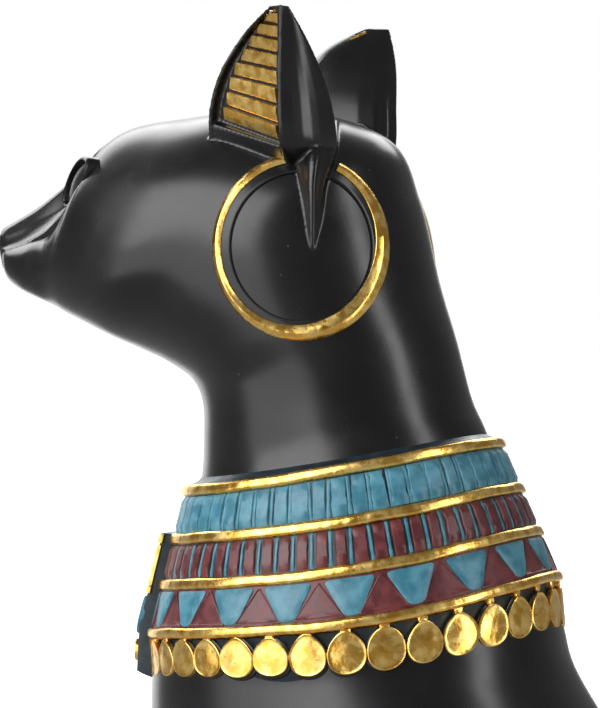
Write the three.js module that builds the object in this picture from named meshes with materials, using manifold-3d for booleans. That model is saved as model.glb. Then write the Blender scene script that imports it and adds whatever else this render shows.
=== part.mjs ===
// Bust of a seated cat in the ancient Egyptian manner, one solid resin casting: head with upright
// ears, a hoop in relief under each ear, a neck, a banded broad collar hung with discs, a plaque on
// the chest and the top of the shoulders, cut flat below. Millimetres, +Z up, the face looks along
// -Y, the origin is the centre of the flat underside.
import * as THREE from "three";
import { mergeVertices } from "three/addons/utils/BufferGeometryUtils.js";
import Module from "manifold-3d";

const wasm = await Module();
wasm.setup();

const PINCH_MM = 1e-3; // vertices closer than this are one
const TURN = 2 * Math.PI;
const FAR_OUTSIDE = 100; // millimetres from which the body is looked at

// How many flats stand for a round stretch
const BODY_FLATS = 40;
const COLLAR_FLATS = 48;
const HOOP_FLATS = 32;
const SMALL_FLATS = 10;
const PLAQUE_FLATS = 8;
const PLAQUE_ROWS = 6;
const EYE_FLATS = [12, 8];

// Collar, measured down from the middle of the first gold band to the middle of the last
const COLLAR_TOP = { half: 21.7, reach: 23.8, middle: -2.7, height: 40.65, rise: 0.158, droop: 1.2, skew: 0 };
const COLLAR_FOOT = { half: 28, reach: 30.8, middle: -0.9, height: 19.65, rise: 0.155, droop: 2, skew: 1.9 };
const BANDS = [0, 0.341, 0.659, 1];
const BAND_HALF = 0.038; // half the width of a gold band, as a share of the collar's depth
const BAND_PROUD = 0.6;
const NECK_FILLET = [[-0.2, -2.4], [-0.09, -1.5], [-0.045, -0.2]];

// Discs hanging from the last band, each one pointed above and flat below
const DISC_COUNT = 34;
const DISC_AT = { front: 1.185, back: 1.23 };
const DISC_SIZE = { width: 5.2, height: 5.9, proud: 0.5 };
const DISC_OUTLINE = [[0, 0.5], [0.42, 0.24], [0.48, -0.14], [0.24, -0.5]];
const DISC_GROUND = { from: 1.03, to: 1.35, proud: -0.5 };
const DISC_ROOT = 0.6; // how deep a disc goes into its ground

// Plaque on the chest
const PLAQUE = { from: 0.3, to: 1.335, half: 9.5, proud: 2.1, flare: 2.7, root: -2 };

// A section is a plane that holds the X direction: "under" and "top" are its ends on the mid-plane
// as [y, z], "half" its half width, "widest" where that lies from under to top, "square" the
// exponents of its upper and lower halves.
const section = (name, under, top, half, widest, square) => ({ name, under, top, half, widest, square });

// Body from the cut up the neck, over the skull and out along the muzzle
const BODY = [
  section("cut", [-31.5, 0], [38.9, 0], 29.2, 0.5, [2.1, 2.1]),
  section("chest", [-31.5, 8.0], [32.4, 10.5], 27.6, 0.5, [2.1, 2.1]),
  section("shoulder", [-31.0, 14.0], [29.8, 19.5], 26.6, 0.5, [2.05, 2.05]),
  section("hidden", [-26.0, 28.0], [23.0, 34.0], 22.0, 0.5, [2.0, 2.0]),
  section("neck foot", [-24.3, 38.0], [19.3, 45.0], 19.4, 0.5, [2.0, 2.0]),
  section("neck", [-23.9, 44.0], [16.8, 50.5], 18.8, 0.5, [2.0, 2.0]),
  section("throat", [-24.0, 49.5], [14.4, 59.0], 18.8, 0.5, [2.0, 2.0]),
  section("nape", [-25.6, 53.0], [11.5, 68.0], 20.0, 0.5, [2.0, 2.0]),
  section("occiput", [-29.8, 55.7], [8.3, 80.6], 21.0, 0.5, [2.0, 2.0]),
  section("back of crown", [-34.4, 57.8], [3.6, 89.6], 21.0, 0.5, [2.0, 2.1]),
  section("crown", [-38.7, 59.7], [-11.0, 94.0], 20.8, 0.5, [2.0, 2.4]),
  section("forehead", [-42.5, 61.5], [-26.4, 93.1], 19.2, 0.48, [2.1, 2.5]),
  section("brow", [-45.8, 63.0], [-37.6, 90.9], 16.4, 0.45, [2.2, 2.6]),
  section("eyes", [-48.6, 64.4], [-42.0, 85.2], 12.6, 0.42, [2.3, 2.5]),
  section("cheeks", [-51.1, 65.5], [-46.2, 79.8], 10.0, 0.42, [2.4, 2.8]),
  section("lips", [-53.7, 66.6], [-51.4, 77.7], 7.8, 0.44, [2.4, 2.8]),
  section("muzzle end", [-56.2, 67.9], [-55.9, 75.7], 5.4, 0.46, [2.4, 2.6]),
  section("mouth", [-57.4, 69.4], [-57.5, 75.0], 3.6, 0.5, [2.2, 2.2]),
  section("lip", [-57.9, 71.0], [-58.0, 73.8], 1.6, 0.5, [2.0, 2.0]),
];

// The ridge of the nose, from inside the forehead to the nose
const BRIDGE = [
  section("root", [-35.0, 83.0], [-39.4, 90.3], 4.0, 0.3, [2.0, 2.0]),
  section("frown", [-38.6, 80.6], [-44.1, 88.9], 4.6, 0.3, [2.0, 2.0]),
  section("between the eyes", [-41.0, 78.0], [-45.4, 85.6], 4.2, 0.3, [2.0, 2.0]),
  section("bridge", [-46.0, 75.4], [-49.0, 82.4], 3.6, 0.3, [2.0, 2.1]),
  section("nose", [-51.8, 73.0], [-53.4, 79.8], 3.2, 0.4, [2.0, 2.2]),
  section("nostrils", [-56.2, 72.6], [-57.6, 77.6], 3.3, 0.6, [2.0, 2.4]),
  section("tip", [-58.2, 74.8], [-59.0, 76.7], 2.2, 0.6, [2.0, 2.0]),
];

// Guide lines of the left ear as [x, y, z], from inside the head to the tip
const EAR = {
  front: [[13, -19, 86], [15, -18.4, 92.8], [16, -16.2, 98.8], [16.8, -12.1, 104.3], [20.6, -6.6, 107.8]],
  ridge: [[18.2, -4.4, 80], [20, -4.5, 88.2], [21.2, -4.5, 96], [21.8, -4.3, 102.6], [22.1, -4.3, 107.8]],
  back: [[10, -0.6, 79], [12.4, 1, 87.5], [14.6, 0.6, 95.2], [18.4, -0.8, 101.8], [21.7, -3, 107.6]],
  inner: [[7.6, -7.4, 83], [9.4, -7.8, 90.6], [12, -7.8, 97.6], [15.6, -7.2, 103.4], [20.4, -5.2, 107.6]],
  tip: [21.8, -4.9, 108.4],
  ridgeBulge: 0.07,
  innerBulge: 0.16,
};
// Stepped plates across the ear's front: "from" and "to" along the ear, the rest in millimetres,
// "rim" and "bevel" as shares of the front's width
const PLATES = { count: 8, from: 0.22, to: 0.93, depth: 1.5, step: 0.45, deepest: 0.3, joint: 0.006 };
const PLATE_RIM = { rim: 0.07, bevel: 0.02, dish: 1.15 };

// Stalk from the ear to the hoop
const STALK = { from: [17.8, -1.6, 87.0], to: [16.6, 0.2, 74.0], radii: [1.9, 1.0] };

// Hoop in relief on the side of the head: a gold crescent round a low black ledge
const HOOP = { centre: [0, -9.45, 72.8], facing: 21, across: 13, up: 13.75 };
const HOOP_LEVELS = { edge: 0.1, rise: 0.9, ledge: 0.3, root: -1.6 };
const HOOP_WIDTH = { thin: 1.15, thick: 2.3, thickest: 150, crest: 0.4 };
const HOOP_HOLE = 0.795; // the hole, as a share of the hoop's size

// Left eye: a lens on the face, its long axis rising outwards
const EYE = {
  centre: [10.4, -40.4, 83.9],
  facing: [0.55, -0.82, 0.16],
  axis: [0.76, 0.45, 0.46],
  length: 5.2,
  height: 3.0,
  depth: 2.3,
  proud: 0.4,
};

// Catmull-Rom interpolation of one number of a list at a fractional index.
function between(list, at, read) {
  const last = list.length - 1;
  const i = Math.min(Math.floor(at), last - 1);
  const t = at - i;
  const value = (k) => read(list[Math.min(Math.max(k, 0), last)]);
  const [a, b, c, d] = [value(i - 1), value(i), value(i + 1), value(i + 2)];
  const hermiteStart = b * (1 + 2 * t) * (1 - t) ** 2 + ((c - a) / 2) * t * (1 - t) ** 2;
  const hermiteEnd = c * t * t * (3 - 2 * t) + ((d - b) / 2) * t * t * (t - 1);
  return hermiteStart + hermiteEnd;
}

const guidePoint = (guide, at) =>
  new THREE.Vector3(...[0, 1, 2].map((axis) => between(guide, at, (point) => point[axis])));

// Point of a body or bridge section at a fractional station and an angle from its top.
function sectionPoint(stations, at, angle) {
  const field = (read) => between(stations, at, read);
  const under = [0, 1].map((axis) => field((s) => s.under[axis]));
  const top = [0, 1].map((axis) => field((s) => s.top[axis]));
  const widest = field((s) => s.widest);
  const upper = Math.cos(angle) >= 0;
  const power = 2 / field((s) => s.square[upper ? 1 : 0]);
  const rise = Math.abs(Math.cos(angle)) ** power;
  const along = upper ? widest + (1 - widest) * rise : widest * (1 - rise);
  const side = Math.sign(Math.sin(angle)) * Math.abs(Math.sin(angle)) ** power;
  return new THREE.Vector3(
    field((s) => s.half) * side,
    under[0] + (top[0] - under[0]) * along,
    under[1] + (top[1] - under[1]) * along,
  );
}

// Point of the collar at a share of its depth, an angle from the front, and a distance outwards.
function collarPoint(depth, angle, proud = 0) {
  const mix = (key, share = depth) => COLLAR_TOP[key] + (COLLAR_FOOT[key] - COLLAR_TOP[key]) * share;
  const spread = Math.min(depth, 1);
  const [half, reach] = [mix("half", spread), mix("reach", spread)];
  const [sine, cosine] = [Math.sin(angle), Math.cos(angle)];
  const outward = new THREE.Vector3(sine / half, -cosine / reach, 0).normalize();
  outward.z = (COLLAR_FOOT.half - COLLAR_TOP.half) / (COLLAR_TOP.height - COLLAR_FOOT.height);
  outward.normalize();
  const y = mix("middle") - reach * cosine;
  const z = mix("height") + mix("rise") * y - mix("droop") * sine ** 2 + mix("skew") * sine ** 2 * cosine;
  return new THREE.Vector3(half * sine, y, z).addScaledVector(outward, proud);
}

// Closed surface through rings of points, with a pole at each end.
function loftSolid(rings, firstPole, lastPole) {
  const count = rings[0].length;
  const points = [firstPole, ...rings.flat(), lastPole];
  const at = (ring, k) => 1 + ring * count + (k % count);
  const end = points.length - 1;
  const index = [];
  for (let k = 0; k < count; k++) {
    index.push(0, at(0, k + 1), at(0, k));
    index.push(end, at(rings.length - 1, k), at(rings.length - 1, k + 1));
    for (let ring = 0; ring + 1 < rings.length; ring++) {
      index.push(at(ring, k), at(ring, k + 1), at(ring + 1, k + 1));
      index.push(at(ring, k), at(ring + 1, k + 1), at(ring + 1, k));
    }
  }
  const geometry = new THREE.BufferGeometry().setFromPoints(points);
  geometry.setIndex(index);
  return solidFrom(geometry);
}

// Closed surface through rings of points, the last one joined to the first.
function ringSolid(rings) {
  const count = rings[0].length;
  const at = (ring, k) => (ring % rings.length) * count + (k % count);
  const index = [];
  for (let ring = 0; ring < rings.length; ring++) {
    for (let k = 0; k < count; k++) {
      index.push(at(ring, k), at(ring, k + 1), at(ring + 1, k + 1));
      index.push(at(ring, k), at(ring + 1, k + 1), at(ring + 1, k));
    }
  }
  const geometry = new THREE.BufferGeometry().setFromPoints(rings.flat());
  geometry.setIndex(index);
  return solidFrom(geometry);
}

// Solid of a closed surface, whichever way its triangles were wound.
function solidFrom(geometry) {
  geometry.deleteAttribute("normal");
  geometry.deleteAttribute("uv");
  const merged = mergeVertices(geometry, PINCH_MM);
  const mesh = {
    numProp: 3,
    vertProperties: merged.attributes.position.array,
    triVerts: new Uint32Array(merged.index.array),
  };
  const solid = new wasm.Manifold(new wasm.Mesh(mesh));
  if (solid.volume() > 0) return solid;
  mesh.triVerts.reverse();
  return new wasm.Manifold(new wasm.Mesh(mesh));
}

function middleOf(ring) {
  const sum = ring.reduce((total, point) => total.add(point), new THREE.Vector3());
  return sum.divideScalar(ring.length);
}

function stationLoft(stations, ats, flats) {
  const rings = ats.map((at) =>
    Array.from({ length: flats }, (_, k) => sectionPoint(stations, at, (k / flats) * TURN)),
  );
  return loftSolid(rings, middleOf(rings[0]), middleOf(rings.at(-1)));
}

function evenly(from, to, count) {
  return Array.from({ length: count }, (_, i) => from + ((to - from) * i) / (count - 1));
}

function bodySolid() {
  const station = (name) => BODY.findIndex((section) => section.name === name);
  const ats = [
    ...evenly(0, station("shoulder"), 4),
    station("hidden"),
    ...evenly(station("neck foot"), station("throat"), 4),
    ...evenly(station("throat") + 0.4, station("forehead"), 12),
    ...evenly(station("forehead") + 0.4, station("lip"), 14),
  ];
  return stationLoft(BODY, ats, BODY_FLATS);
}

function bridgeSolid() {
  return stationLoft(BRIDGE, evenly(0, BRIDGE.length - 1, BRIDGE.length), SMALL_FLATS);
}

function collarSolid() {
  const rows = [...NECK_FILLET];
  BANDS.forEach((middle, band) => {
    rows.push([middle - BAND_HALF, BAND_PROUD], [middle + BAND_HALF, BAND_PROUD]);
    if (band + 1 < BANDS.length) rows.push([middle + BAND_HALF, 0], [BANDS[band + 1] - BAND_HALF, 0]);
  });
  rows.push([DISC_GROUND.from, DISC_GROUND.proud], [DISC_GROUND.to, DISC_GROUND.proud]);
  const rings = rows.map(([depth, proud]) =>
    Array.from({ length: COLLAR_FLATS }, (_, k) => collarPoint(depth, (k / COLLAR_FLATS) * TURN, proud)),
  );
  return loftSolid(rings.reverse(), middleOf(rings[0]), middleOf(rings.at(-1)));
}

function discSolid(angle) {
  const { width, height, proud } = DISC_SIZE;
  const middle = DISC_AT.front + (DISC_AT.back - DISC_AT.front) * Math.max(0, -Math.cos(angle));
  const [down, round] = [COLLAR_TOP.height - COLLAR_FOOT.height, COLLAR_FOOT.reach];
  const right = DISC_OUTLINE.slice(1);
  const left = right.map(([x, y]) => [-x, y]).reverse();
  const rings = [DISC_GROUND.proud - DISC_ROOT, proud].map((level) =>
    [DISC_OUTLINE[0], ...right, ...left].map(([x, y]) =>
      collarPoint(middle - (y * height) / down, angle + (x * width) / round, level),
    ),
  );
  return loftSolid(rings, middleOf(rings[0]), middleOf(rings[1]));
}

function plaqueSolid() {
  const spread = evenly(-PLAQUE.half, PLAQUE.half, PLAQUE_FLATS + 1);
  const rings = evenly(PLAQUE.from, PLAQUE.to, PLAQUE_ROWS).map((depth) => {
    const half = COLLAR_TOP.half + (COLLAR_FOOT.half - COLLAR_TOP.half) * depth;
    const proud = PLAQUE.proud + PLAQUE.flare * Math.max(0, depth - 1);
    return [
      ...spread.map((x) => collarPoint(depth, Math.asin(x / half), proud)),
      ...spread.map((x) => collarPoint(depth, Math.asin(-x / half), PLAQUE.root)),
    ];
  });
  return loftSolid(rings.reverse(), middleOf(rings[0]), middleOf(rings.at(-1)));
}

function earSolid() {
  const { count, from, to, depth, step, deepest, joint } = PLATES;
  const { rim, bevel, dish } = PLATE_RIM;
  const rows = [[0, 0], [from / 2, 0], [from, 0]];
  evenly(from, to, count + 1).slice(1).forEach((high, plate) => {
    const low = from + ((to - from) * plate) / count;
    rows.push([low + joint, depth - step], [high - joint, depth]);
  });
  rows.push([to + 2 * joint, 0], [1, 0]);
  const rings = rows.map(([share, sunk]) => {
    const at = share * (EAR.front.length - 1);
    const guides = [EAR.front, EAR.ridge, EAR.back, EAR.inner];
    const [front, ridge, back, inner] = guides.map((guide) => guidePoint(guide, at));
    const facet = ridge.clone().sub(front);
    const width = facet.length();
    const into = new THREE.Vector3(-facet.y, facet.x, 0).normalize();
    const onFacet = (along, deep) => front.clone().addScaledVector(facet, along).addScaledVector(into, deep);
    const bulge = (a, b, x, y) => a.clone().lerp(b, 0.5).add(new THREE.Vector3(x, y, 0));
    const sinkHere = Math.min(sunk, width * deepest);
    const backOut = EAR.ridgeBulge * ridge.distanceTo(back);
    const innerOut = EAR.innerBulge * front.distanceTo(inner);
    return [
      front,
      onFacet(rim, -bevel * width),
      onFacet(rim + bevel, sinkHere),
      onFacet(0.5, sinkHere * dish),
      onFacet(1 - rim - bevel, sinkHere),
      onFacet(1 - rim, -bevel * width),
      ridge,
      bulge(ridge, back, backOut, backOut),
      back,
      bulge(back, inner, -innerOut / 2, innerOut),
      inner,
      bulge(inner, front, -innerOut, -innerOut / 2),
    ];
  });
  return loftSolid(rings, middleOf(rings[0]), new THREE.Vector3(...EAR.tip));
}

// Round bar between two points, its radius changing on the way.
function stalkSolid() {
  const [from, to] = [new THREE.Vector3(...STALK.from), new THREE.Vector3(...STALK.to)];
  const rings = evenly(0, 1, 4).map((along) => {
    const radius = STALK.radii[0] + (STALK.radii[1] - STALK.radii[0]) * along;
    const centre = from.clone().lerp(to, along);
    return Array.from({ length: SMALL_FLATS }, (_, k) => {
      const turn = (-k / SMALL_FLATS) * TURN;
      return new THREE.Vector3(Math.cos(turn) * radius, Math.sin(turn) * radius, 0).add(centre);
    });
  });
  return loftSolid(rings, middleOf(rings[0]), middleOf(rings.at(-1)));
}

// First point of the bare body met from far outside along a direction towards the inside.
function castOnBody(through, inwards) {
  const start = through.clone().addScaledVector(inwards, -FAR_OUTSIDE);
  const [hit] = new THREE.Raycaster(start, inwards).intersectObject(bareBody);
  return hit.point;
}

// Ring laid on the side of the head, wider where the crescent is thick.
function hoopSolid() {
  const { across, up } = HOOP;
  const { edge, rise, ledge, root } = HOOP_LEVELS;
  const yaw = THREE.MathUtils.degToRad(HOOP.facing);
  const out = new THREE.Vector3(Math.cos(yaw), Math.sin(yaw), 0);
  const back = new THREE.Vector3(-out.y, out.x, 0);
  const centre = new THREE.Vector3(...HOOP.centre);
  const rings = Array.from({ length: HOOP_FLATS }, (_, k) => {
    const turn = (k / HOOP_FLATS) * TURN;
    const swell = (1 + Math.cos(turn - THREE.MathUtils.degToRad(HOOP_WIDTH.thickest))) / 2;
    const width = HOOP_WIDTH.thin + (HOOP_WIDTH.thick - HOOP_WIDTH.thin) * swell ** 2;
    const inset = (mm) => 1 - mm / up;
    const profile = [
      [1, root],
      [1, edge],
      [inset(width * HOOP_WIDTH.crest), rise],
      [inset(width), ledge],
      [HOOP_HOLE, ledge],
      [HOOP_HOLE, root],
    ];
    return profile.map(([size, level]) => {
      const spot = centre.clone().addScaledVector(back, Math.sin(turn) * across * size);
      spot.z += Math.cos(turn) * up * size;
      return castOnBody(spot, out.clone().negate()).addScaledVector(out, level);
    });
  });
  return ringSolid(rings);
}

function eyeSolid() {
  const out = new THREE.Vector3(...EYE.facing).normalize();
  const along = new THREE.Vector3(...EYE.axis).projectOnPlane(out).normalize();
  const up = out.clone().cross(along).negate();
  const centre = castOnBody(new THREE.Vector3(...EYE.centre), out.clone().negate());
  const ball = new THREE.SphereGeometry(1, ...EYE_FLATS);
  const frame = new THREE.Matrix4().makeBasis(
    along.multiplyScalar(EYE.length),
    out.clone().multiplyScalar(EYE.depth),
    up.multiplyScalar(-EYE.height),
  );
  ball.applyMatrix4(frame.setPosition(centre.addScaledVector(out, EYE.proud - EYE.depth)));
  return solidFrom(ball);
}

const mirrored = (solid) => solid.mirror([1, 0, 0]);
const bothSides = (solid) => [solid, mirrored(solid)];

function geometryFrom(solid) {
  const mesh = solid.getMesh();
  const geometry = new THREE.BufferGeometry();
  geometry.setAttribute("position", new THREE.BufferAttribute(mesh.vertProperties, 3));
  geometry.setIndex(new THREE.BufferAttribute(mesh.triVerts, 1));
  geometry.computeVertexNormals();
  return geometry;
}

const body = bodySolid();
const seenFromBothSides = new THREE.MeshBasicMaterial({ side: THREE.DoubleSide });
const bareBody = new THREE.Mesh(geometryFrom(body), seenFromBothSides);
const discs = Array.from({ length: DISC_COUNT }, (_, k) => discSolid((k / DISC_COUNT) * TURN));
const parts = [
  collarSolid(),
  ...discs,
  plaqueSolid(),
  bridgeSolid(),
  ...[earSolid(), stalkSolid(), hoopSolid(), eyeSolid()].flatMap(bothSides),
];
const casting = parts.reduce((whole, part) => whole.add(part), body);

const blackResin = new THREE.MeshStandardMaterial({ color: 0x16161a, roughness: 0.35, metalness: 0 });
const bust = new THREE.Mesh(geometryFrom(casting), blackResin);
bust.name = "cat_bust";

const group = new THREE.Group();
group.add(bust);
export default group;
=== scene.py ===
"""Looks of a black cat bust in the ancient Egyptian manner: a cast resin head on a painted collar.

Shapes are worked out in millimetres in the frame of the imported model, +Z up, the face towards -Y, and
turned into metres when a mesh is made. The whole cat is one casting, so every piece here is painted
relief on the same solid.
"""
import math

import bmesh
import bpy
import numpy as np
from mathutils import Matrix, Vector
from mathutils.bvhtree import BVHTree


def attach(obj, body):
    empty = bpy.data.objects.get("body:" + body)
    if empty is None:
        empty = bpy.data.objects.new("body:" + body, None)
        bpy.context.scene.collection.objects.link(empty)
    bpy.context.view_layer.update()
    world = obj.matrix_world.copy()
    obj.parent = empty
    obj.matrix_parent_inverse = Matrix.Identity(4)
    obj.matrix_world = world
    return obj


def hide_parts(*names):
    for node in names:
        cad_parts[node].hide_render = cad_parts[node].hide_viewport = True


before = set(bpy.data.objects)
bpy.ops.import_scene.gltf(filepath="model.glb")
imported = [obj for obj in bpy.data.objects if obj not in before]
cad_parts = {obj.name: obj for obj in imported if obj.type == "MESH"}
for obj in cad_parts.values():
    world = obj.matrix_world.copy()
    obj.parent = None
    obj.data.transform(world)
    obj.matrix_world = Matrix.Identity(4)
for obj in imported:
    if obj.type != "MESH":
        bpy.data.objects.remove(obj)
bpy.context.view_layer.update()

MM = 0.001
TURN = 2 * math.pi
NODE = "cat_bust"
BODY_NAME = "root"
RANDOM = np.random.default_rng(11)

# Camera: what the photograph shows of the bust, in millimetres
CAMERA_AZIMUTH = 111.0
CAMERA_DISTANCE = 580.0
CAMERA_TARGET = {"right": -9.0, "up": 57.1}
FRAME_HEIGHT_MM = 106.2  # what the picture's height takes in at the target
SENSOR_MM = 36.0

# Body sections: ends on the mid-plane as y and z of the lower one and of the upper one, half width,
# where the widest point lies from the lower to the upper end, exponents of the upper and lower half
BODY = {
    "cut": (-31.5, 0.0, 38.9, 0.0, 29.2, 0.5, 2.1, 2.1),
    "chest": (-31.5, 8.0, 32.4, 10.5, 27.6, 0.5, 2.1, 2.1),
    "shoulder": (-31.0, 14.0, 29.8, 19.5, 26.6, 0.5, 2.05, 2.05),
    "hidden": (-26.0, 28.0, 23.0, 34.0, 22.0, 0.5, 2.0, 2.0),
    "neck foot": (-24.3, 38.0, 19.3, 45.0, 19.4, 0.5, 2.0, 2.0),
    "neck": (-23.9, 44.0, 16.8, 50.5, 18.8, 0.5, 2.0, 2.0),
    "throat": (-24.0, 49.5, 14.4, 59.0, 18.8, 0.5, 2.0, 2.0),
    "nape": (-25.6, 53.0, 11.5, 68.0, 20.0, 0.5, 2.0, 2.0),
    "occiput": (-29.8, 55.7, 8.3, 80.6, 21.0, 0.5, 2.0, 2.0),
    "back of crown": (-34.4, 57.8, 3.6, 89.6, 21.0, 0.5, 2.0, 2.1),
    "crown": (-38.7, 59.7, -11.0, 94.0, 19.9, 0.5, 2.0, 2.4),
    "forehead": (-42.5, 61.5, -26.4, 93.1, 17.0, 0.48, 2.1, 2.5),
    "brow": (-45.8, 63.0, -37.6, 90.9, 13.8, 0.45, 2.2, 2.6),
    "eyes": (-48.6, 64.4, -42.6, 83.4, 11.2, 0.42, 2.3, 2.5),
    "cheeks": (-51.1, 65.5, -46.6, 77.6, 9.4, 0.44, 2.4, 2.8),
    "lips": (-53.7, 66.6, -51.4, 75.4, 7.8, 0.46, 2.4, 2.8),
    "muzzle end": (-56.2, 67.9, -55.9, 74.2, 5.4, 0.5, 2.4, 2.6),
    "mouth": (-57.4, 69.4, -57.5, 74.2, 3.6, 0.5, 2.2, 2.2),
    "lip": (-57.9, 71.0, -58.0, 73.8, 1.6, 0.5, 2.0, 2.0),
}
STATION = {name: place for place, name in enumerate(BODY)}
BODY_ROWS = np.array(list(BODY.values()))

# Top of the muzzle by y: heights and half widths of the nose ridge, of the groove beside it and of
# the cheek's edge
MUZZLE_Y = (-34.0, -38.0, -41.0, -43.3, -45.0, -47.0, -49.0, -52.6, -56.0, -58.0, -58.9)
NOSE_Z = (90.6, 90.4, 89.4, 87.6, 85.9, 84.2, 82.5, 80.0, 78.1, 77.1, 76.6)
NOSE_X = (6.0, 4.4, 3.4, 2.7, 2.3, 2.1, 2.0, 1.9, 2.0, 1.9, 1.4)
GROOVE_Z = (86.0, 84.6, 83.2, 81.8, 80.6, 79.4, 78.4, 77.0, 75.7, 75.2, 75.2)
GROOVE_X = (8.0, 6.4, 5.2, 4.4, 3.9, 3.5, 3.3, 3.1, 2.9, 2.5, 1.8)
CHEEK_Z = (84.0, 83.4, 82.2, 80.0, 78.2, 76.7, 75.5, 74.2, 73.4, 73.2, 74.0)
CHEEK_X = (12.5, 12.2, 11.4, 10.4, 9.4, 8.4, 7.3, 5.7, 4.4, 3.1, 2.0)

# Guide lines of the left ear as x, y, z, from inside the head to the tip
EAR_FRONT = ((13, -19, 86), (15, -18.4, 92.8), (16, -16.2, 98.8), (16.8, -12.1, 104.3), (20.6, -6.6, 107.8))
EAR_RIDGE = ((14.0, -5.0, 83.5), (20, -4.5, 88.2), (21.2, -4.5, 96), (21.8, -4.3, 102.6), (22.1, -4.3, 107.8))
EAR_BACK = ((9, -1.5, 82), (12.4, 1, 87.5), (14.6, 0.6, 95.2), (18.4, -0.8, 101.8), (21.7, -3, 107.6))
EAR_INNER = ((7.6, -8.4, 84), (9.4, -7.8, 90.6), (12, -7.8, 97.6), (15.6, -7.2, 103.4), (20.4, -5.2, 107.6))
EAR_TIP = (21.8, -4.9, 108.4)
PLATES = {"count": 8, "from": 0.235, "to": 0.93, "sunk": 1.1, "rim": 0.085, "proud": 0.75}

# Stalk from the ear down over the hoop, laid on the head: height, place across the picture (see
# camera_axes), half width and how far it stands out
STALK = ((92.0, -6.6, 3.2, 3.4), (88.0, -6.8, 3.3, 3.6), (85.5, -6.9, 2.9, 3.2), (82.0, -7.2, 2.0, 2.2),
         (78.5, -7.2, 1.6, 1.5), (75.0, -7.2, 1.3, 0.8), (71.5, -7.2, 0.9, -0.2))

# Left eye: a lens in a raised almond rim, from its outer to its inner corner
EYE = {"outer": (12.4, -38.9, 86.1), "inner": (4.8, -46.4, 80.2), "facing": (0.66, -0.745, 0.106), "high": 5.4}

# Hoop in relief on the side of the head
HOOP = {"centre": (0, -9.45, 72.8), "facing": 21, "across": 13.0, "up": 13.75}
HOOP_WIDTH = {"thin": 1.25, "thick": 2.7, "thickest": 138, "crest": 0.42}
HOOP_GOLD = {"from": 26, "to": 357}  # degrees clockwise from the top

# Collar, measured down from the middle of the first gold band to the middle of the last
COLLAR_TOP = {"half": 21.7, "reach": 23.8, "middle": -2.7, "height": 40.65, "rise": 0.158, "droop": 1.2, "skew": 0}
COLLAR_FOOT = {"half": 28, "reach": 30.8, "middle": -0.9, "height": 19.65, "rise": 0.155, "droop": 2, "skew": 1.9}
BANDS = (0, 0.341, 0.659, 1)
BAND = {"high": 1.6, "proud": 0.75}
FIRST_ROW_TILES = 54
SECOND_ROW_TILES = 61
TRIANGLES = 20
DISCS = 34
HEAD_VOXEL = 0.24
HEAD_TRIANGLES = 190000

# Studio light round the bust: degrees round from the camera, towards the nose counting as negative,
# degrees above the table, degrees wide and high, and brightness
LIGHTS = {
    "front softbox": (-52, 27, 56, 40, 4.6),
    "front bounce": (-52, -7, 60, 26, 1.6),
    "rear strip": (57, 10, 12, 62, 5.0),
    "far overhead softbox": (-172, 40, 84, 24, 4.5),
    "backdrop": (-170, 5, 52, 46, 1.4),
}
LIGHT_DISTANCE = 1.0  # metres
LIGHT_CENTRE = (0, -0.01, 0.06)

# Plaque on the chest: shares of the collar's depth, half width, height over the collar, and how much
# further it stands out below the last band
PLAQUE = {"from": 0.3, "to": 1.335, "half": 9.5, "proud": 2.1, "flare": 2.7}


def between(values, at):
    """Catmull-Rom interpolation of rows of values at fractional indices."""
    values = np.asarray(values, float)
    at = np.asarray(at, float)
    last = len(values) - 1
    i = np.clip(np.floor(at).astype(int), 0, last - 1)
    t = (at - i).reshape(at.shape + (1,) * (values.ndim - 1))
    a, b, c, d = (values[np.clip(i + step, 0, last)] for step in (-1, 0, 1, 2))
    start = b * (1 + 2 * t) * (1 - t) ** 2 + (c - a) / 2 * t * (1 - t) ** 2
    end = c * t * t * (3 - 2 * t) + (d - b) / 2 * t * t * (t - 1)
    return start + end


def body_points(at, angle):
    """Points of the body at fractional stations and angles from each section's top."""
    at, angle = np.broadcast_arrays(at, angle)
    row = between(BODY_ROWS, at)
    under, top, half, widest = row[..., 0:2], row[..., 2:4], row[..., 4], row[..., 5:6]
    upper = np.cos(angle) >= 0
    power = 2 / np.where(upper, row[..., 6], row[..., 7])
    rise = (np.abs(np.cos(angle)) ** power)[..., None]
    along = np.where(upper[..., None], widest + (1 - widest) * rise, widest * (1 - rise))
    side = np.sign(np.sin(angle)) * np.abs(np.sin(angle)) ** power
    spine = under + (top - under) * along
    return np.concatenate([(half * side)[..., None], spine], axis=-1)


def collar_points(depth, angle, proud=0.0):
    """Points of the collar at shares of its depth, angles from the front and distances outwards."""
    depth, angle, proud = np.broadcast_arrays(np.asarray(depth, float), angle, proud)

    def mix(key, share=depth):
        return COLLAR_TOP[key] + (COLLAR_FOOT[key] - COLLAR_TOP[key]) * share

    spread = np.minimum(depth, 1)
    half, reach = mix("half", spread), mix("reach", spread)
    sine, cosine = np.sin(angle), np.cos(angle)
    outward = np.stack([sine / half, -cosine / reach], axis=-1)
    outward /= np.linalg.norm(outward, axis=-1, keepdims=True)
    lean = (COLLAR_FOOT["half"] - COLLAR_TOP["half"]) / (COLLAR_TOP["height"] - COLLAR_FOOT["height"])
    outward = np.concatenate([outward, np.full(depth.shape + (1,), lean)], axis=-1) / math.hypot(1, lean)
    y = mix("middle") - reach * cosine
    z = mix("height") + mix("rise") * y - mix("droop") * sine**2 + mix("skew") * sine**2 * cosine
    return np.stack([half * sine, y, z], axis=-1) + outward * proud[..., None]


COLLAR_DOWN = COLLAR_TOP["height"] - COLLAR_FOOT["height"]


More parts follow.
